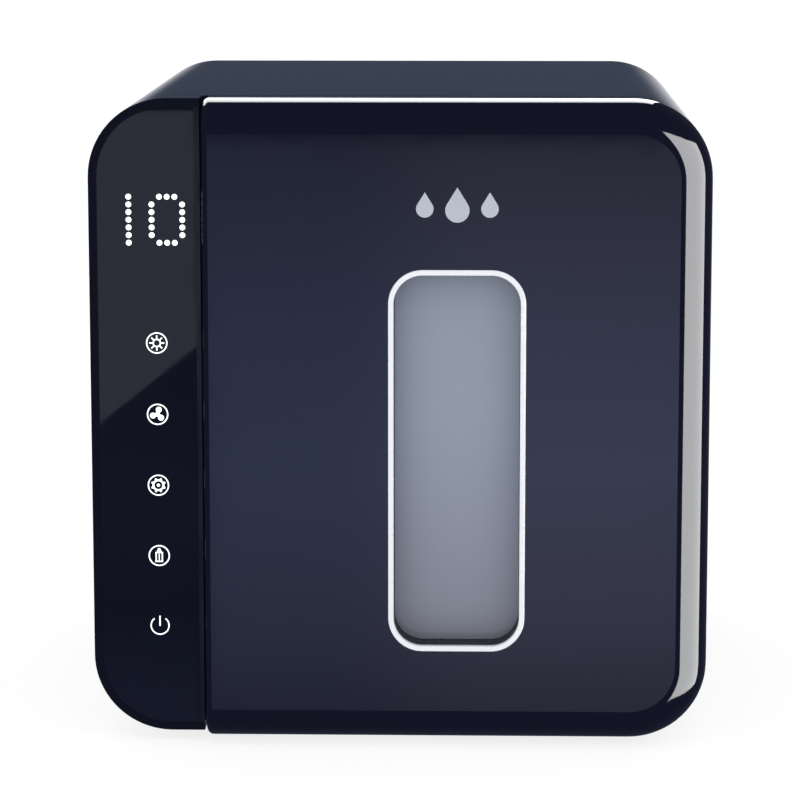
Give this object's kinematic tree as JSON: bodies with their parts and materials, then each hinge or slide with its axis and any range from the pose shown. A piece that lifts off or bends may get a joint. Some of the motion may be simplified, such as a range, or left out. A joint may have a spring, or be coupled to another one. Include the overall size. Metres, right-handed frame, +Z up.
{
  "type": "bottle sterilizer",
  "caption": "Counter-top ultraviolet bottle sterilizer and dryer: rounded cabinet with a side-hinged windowed door, touch panel, steel chamber, racks, lamps and a rear fan.",
  "frame": {"origin": "on the supporting surface, under the middle of the bounding box", "axes": "+Z up, the door faces -Y, +X to the right of somebody facing the door"},
  "size_m": [0.3, 0.325, 0.316],
  "materials": {
    "casing_plastic": "gloss",
    "door_plastic": "high gloss",
    "panel_plastic": "high gloss",
    "panel_lens": "high gloss",
    "bezel_plastic": "fine satin",
    "inner_panel_plastic": "satin",
    "tunnel_plastic": "satin",
    "foot_rubber": "matte",
    "seal_rubber": "matte",
    "pad_rubber": "matte",
    "screw_steel": "zinc plated",
    "hinge_steel": "satin",
    "spring_steel": "bright",
    "magnet": "nickel plated",
    "switch_plastic": "satin",
    "plunger_plastic": "satin",
    "trim_chrome": "satin chrome",
    "badge_silver": "satin silver",
    "smoked_glass": "smoked, polished",
    "clear_glass": "clear, polished",
    "circuit_board": "solder resist",
    "led_white": "diffusing",
    "liner_steel": "brushed stainless",
    "rail_plastic": "satin",
    "rack_steel": "polished stainless",
    "tray_plastic": "satin",
    "socket_plastic": "satin",
    "lamp_quartz": "clear quartz",
    "lamp_cap_metal": "satin",
    "reflector_aluminium": "bright",
    "heater_plastic": "heat resistant",
    "heater_aluminium": "plain",
    "fan_plastic": "satin",
    "filter_plastic": "satin",
    "filter_paper": "pleated non-woven",
    "inlet_plastic": "satin",
    "pin_brass": "plated",
    "component_plastic": "moulded",
    "wire_sleeve": "sleeved"
  },
  "bodies": {
    "cabinet": {"outer_casing": "casing_plastic", "rear_cover": "casing_plastic", "feet": "foot_rubber", "rear_screws": "screw_steel", "front_bezel": "bezel_plastic", "door_seal": "seal_rubber", "latch_magnets": "magnet", "switch_body": "switch_plastic", "switch_spring": "spring_steel", "hinge_bracket_lower": "hinge_steel", "hinge_bracket_upper": "hinge_steel", "hinge_pins": "hinge_steel", "hinge_screws": "screw_steel", "control_housing": "panel_plastic", "control_lens": "panel_lens", "display_board": "circuit_board", "display_leds": "led_white", "touch_pads": "pad_rubber", "chamber_liner": "liner_steel", "rack_rails": "rail_plastic", "bottle_rack": "rack_steel", "drip_tray": "tray_plastic", "lamp_sockets": "socket_plastic", "uv_lamp_upper": "lamp_quartz", "uv_lamp_lower": "lamp_quartz", "lamp_caps": "lamp_cap_metal", "lamp_reflectors": "reflector_aluminium", "lamp_guards": "rack_steel", "bulkhead": "bezel_plastic", "heater_frame": "heater_plastic", "heater_element": "heater_aluminium", "fan_frame": "fan_plastic", "fan_screws": "screw_steel", "filter_duct": "bezel_plastic", "mains_inlet": "inlet_plastic", "inlet_pins": "pin_brass", "main_board": "circuit_board", "board_standoffs": "screw_steel", "board_parts": "component_plastic", "lamp_ballast": "component_plastic", "wiring": "wire_sleeve"},
    "door": {"door_cover": "door_plastic", "window_trim": "trim_chrome", "window_tunnel": "tunnel_plastic", "window_pane": "smoked_glass", "inner_pane": "clear_glass", "door_inner_panel": "inner_panel_plastic", "strike_plates": "magnet", "door_badge": "badge_silver"},
    "fan": {"fan_impeller": "fan_plastic"},
    "filter": {"filter_cover": "casing_plastic", "filter_frame": "filter_plastic", "filter_media": "filter_paper"},
    "plunger": {"switch_plunger": "plunger_plastic"}
  },
  "joints": [
    {"name": "door_hinge", "type": "hinge", "parent": "cabinet", "child": "door", "pos_m": [0.142, -0.1419, 0.1595], "axis": [0, 0, 1], "range_deg": [0, 105]},
    {"name": "fan_spin", "type": "hinge", "parent": "cabinet", "child": "fan", "pos_m": [0.025, 0.12, 0.17], "axis": [0, 1, 0], "continuous": true},
    {"name": "filter_pull", "type": "slide", "parent": "cabinet", "child": "filter", "axis": [0, 1, 0], "range_m": [0, 0.045]},
    {"name": "plunger_travel", "type": "slide", "parent": "cabinet", "child": "plunger", "axis": [0, -1, 0], "range_m": [0, 0.003]}
  ],
  "couplings": [
    {"joint": "plunger_travel", "follows": "door_hinge", "m_per_rad": 0.0016}
  ]
}
